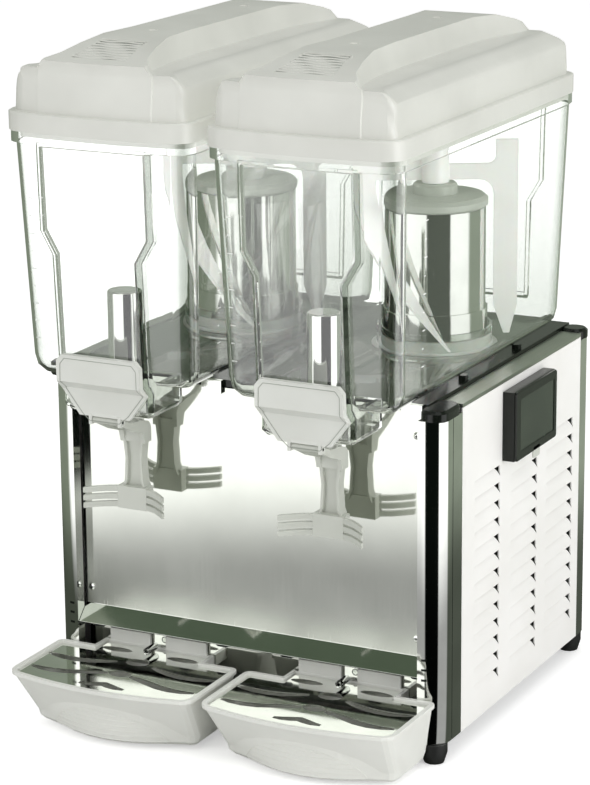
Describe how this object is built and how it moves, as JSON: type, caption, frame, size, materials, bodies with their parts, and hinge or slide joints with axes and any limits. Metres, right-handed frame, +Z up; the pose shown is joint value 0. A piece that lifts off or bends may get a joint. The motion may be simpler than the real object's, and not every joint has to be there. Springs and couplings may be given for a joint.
{
  "type": "cold drink dispenser",
  "caption": "Countertop cold drink dispenser with clear lift-off bowls, stirring paddles, push-lever taps and drip trays over a louvred steel cabinet.",
  "frame": {"origin": "middle of the whole part's box, at the bottom of the feet", "axes": "+X to the right seen from the front, +Y to the back, +Z up"},
  "size_m": [0.426, 0.4776, 0.659],
  "materials": {
    "polished_steel": "polished stainless sheet",
    "dark_steel": "plain steel",
    "white_enamel": "white enamel",
    "lid_plastic": "pale grey moulded plastic",
    "tap_plastic": "light grey moulded plastic",
    "paddle_plastic": "white moulded plastic",
    "clear_plastic": "clear moulded plastic",
    "cap_plastic": "grey-green moulded plastic",
    "seal_rubber": "grey soft rubber",
    "black_plastic": "black moulded plastic",
    "smoked_plastic": "smoked clear plastic",
    "black_enamel": "black enamel"
  },
  "bodies": {
    "cabinet": {"base_pan": "dark_steel", "front_panel": "polished_steel", "rear_panel": "white_enamel", "side_panel_left": "white_enamel", "side_panel_right": "white_enamel", "corner_post_front_left": "polished_steel", "corner_post_front_right": "polished_steel", "corner_post_rear_left": "polished_steel", "corner_post_rear_right": "polished_steel", "foot_front_left": "black_plastic", "foot_front_right": "black_plastic", "foot_rear_left": "black_plastic", "foot_rear_right": "black_plastic", "deck": "black_plastic", "deck_trim_left": "polished_steel", "deck_trim_right": "polished_steel", "bowl_latch_left": "polished_steel", "bowl_latch_right": "polished_steel", "tray_bracket": "polished_steel", "control_box": "black_plastic", "cable_gland": "black_plastic", "compressor": "black_enamel", "condenser": "dark_steel", "fan_motor": "dark_steel", "mixer_motor_left": "dark_steel", "mixer_motor_right": "dark_steel", "evaporator_left": "polished_steel", "evaporator_right": "polished_steel", "evaporator_cap_left": "cap_plastic", "evaporator_cap_right": "cap_plastic"},
    "bowl_left": {"bowl_left": "clear_plastic", "bowl_seal_left": "seal_rubber", "tap_cover_left": "tap_plastic", "lever_pin_left": "polished_steel", "valve_sleeve_left": "polished_steel"},
    "lid_left": {"lid_left": "lid_plastic"},
    "drive_left": {"drive_magnet_left": "dark_steel"},
    "paddle_left": {"paddle_left": "paddle_plastic"},
    "lever_left": {"lever_left": "tap_plastic"},
    "valve_left": {"valve_piston_left": "paddle_plastic"},
    "tray_left": {"drip_tray_left": "lid_plastic"},
    "grid_left": {"tray_grid_left": "polished_steel"},
    "bowl_right": {"bowl_right": "clear_plastic", "bowl_seal_right": "seal_rubber", "tap_cover_right": "tap_plastic", "lever_pin_right": "polished_steel", "valve_sleeve_right": "polished_steel"},
    "lid_right": {"lid_right": "lid_plastic"},
    "drive_right": {"drive_magnet_right": "dark_steel"},
    "paddle_right": {"paddle_right": "paddle_plastic"},
    "lever_right": {"lever_right": "tap_plastic"},
    "valve_right": {"valve_piston_right": "paddle_plastic"},
    "tray_right": {"drip_tray_right": "lid_plastic"},
    "grid_right": {"tray_grid_right": "polished_steel"},
    "control_cover": {"control_cover": "smoked_plastic"},
    "rocker_1": {"rocker_switch_1": "black_plastic"},
    "rocker_2": {"rocker_switch_2": "black_plastic"},
    "knob": {"thermostat_knob": "black_plastic"},
    "fan": {"condenser_fan": "black_plastic"}
  },
  "joints": [
    {"name": "bowl_lift_left", "type": "slide", "parent": "cabinet", "child": "bowl_left", "axis": [0, 0, 1], "range_m": [0, 0.18]},
    {"name": "lid_lift_left", "type": "slide", "parent": "bowl_left", "child": "lid_left", "axis": [0, 0, 1], "range_m": [0, 0.08]},
    {"name": "drive_spin_left", "type": "hinge", "parent": "cabinet", "child": "drive_left", "pos_m": [-0.10905, 0.07835, 0.462], "axis": [0, 0, 1], "continuous": true},
    {"name": "paddle_spin_left", "type": "hinge", "parent": "bowl_left", "child": "paddle_left", "pos_m": [-0.10905, 0.07835, 0.5038], "axis": [0, 0, 1], "continuous": true},
    {"name": "lever_push_left", "type": "hinge", "parent": "bowl_left", "child": "lever_left", "pos_m": [-0.10905, -0.19415, 0.3125], "axis": [1, 0, 0], "range_deg": [0, 10], "stiffness_Nm_per_rad": 0.3},
    {"name": "valve_rise_left", "type": "slide", "parent": "bowl_left", "child": "valve_left", "axis": [0, 0, 1], "range_m": [0, 0.0068]},
    {"name": "tray_slide_left", "type": "slide", "parent": "cabinet", "child": "tray_left", "axis": [0, -1, 0], "range_m": [0, 0.08]},
    {"name": "plate_lift_left", "type": "slide", "parent": "tray_left", "child": "grid_left", "axis": [0, 0, 1], "range_m": [0, 0.02]},
    {"name": "bowl_lift_right", "type": "slide", "parent": "cabinet", "child": "bowl_right", "axis": [0, 0, 1], "range_m": [0, 0.18]},
    {"name": "lid_lift_right", "type": "slide", "parent": "bowl_right", "child": "lid_right", "axis": [0, 0, 1], "range_m": [0, 0.08]},
    {"name": "drive_spin_right", "type": "hinge", "parent": "cabinet", "child": "drive_right", "pos_m": [0.09595, 0.07835, 0.462], "axis": [0, 0, 1], "continuous": true},
    {"name": "paddle_spin_right", "type": "hinge", "parent": "bowl_right", "child": "paddle_right", "pos_m": [0.09595, 0.07835, 0.5038], "axis": [0, 0, 1], "continuous": true},
    {"name": "lever_push_right", "type": "hinge", "parent": "bowl_right", "child": "lever_right", "pos_m": [0.09595, -0.19415, 0.3125], "axis": [1, 0, 0], "range_deg": [0, 10], "stiffness_Nm_per_rad": 0.3},
    {"name": "valve_rise_right", "type": "slide", "parent": "bowl_right", "child": "valve_right", "axis": [0, 0, 1], "range_m": [0, 0.0068]},
    {"name": "tray_slide_right", "type": "slide", "parent": "cabinet", "child": "tray_right", "axis": [0, -1, 0], "range_m": [0, 0.08]},
    {"name": "plate_lift_right", "type": "slide", "parent": "tray_right", "child": "grid_right", "axis": [0, 0, 1], "range_m": [0, 0.02]},
    {"name": "cover_flip", "type": "hinge", "parent": "cabinet", "child": "control_cover", "pos_m": [0.21105, 0.0591, 0.325], "axis": [0, -1, 0], "range_deg": [0, 110]},
    {"name": "rocker_1_press", "type": "hinge", "parent": "cabinet", "child": "rocker_1", "pos_m": [0.20355, 0.02835, 0.2915], "axis": [0, 1, 0], "range_deg": [0, 14]},
    {"name": "rocker_2_press", "type": "hinge", "parent": "cabinet", "child": "rocker_2", "pos_m": [0.20355, 0.05435, 0.2915], "axis": [0, 1, 0], "range_deg": [0, 14]},
    {"name": "knob_turn", "type": "hinge", "parent": "cabinet", "child": "knob", "pos_m": [0.20155, 0.08535, 0.2915], "axis": [1, 0, 0], "range_deg": [0, 270]},
    {"name": "fan_spin", "type": "hinge", "parent": "cabinet", "child": "fan", "pos_m": [0.10545, 0.06335, 0.145], "axis": [1, 0, 0], "continuous": true}
  ],
  "couplings": [
    {"joint": "paddle_spin_left", "follows": "drive_spin_left", "ratio": 1},
    {"joint": "valve_rise_left", "follows": "lever_push_left", "m_per_rad": 0.038},
    {"joint": "paddle_spin_right", "follows": "drive_spin_right", "ratio": 1},
    {"joint": "valve_rise_right", "follows": "lever_push_right", "m_per_rad": 0.038}
  ]
}
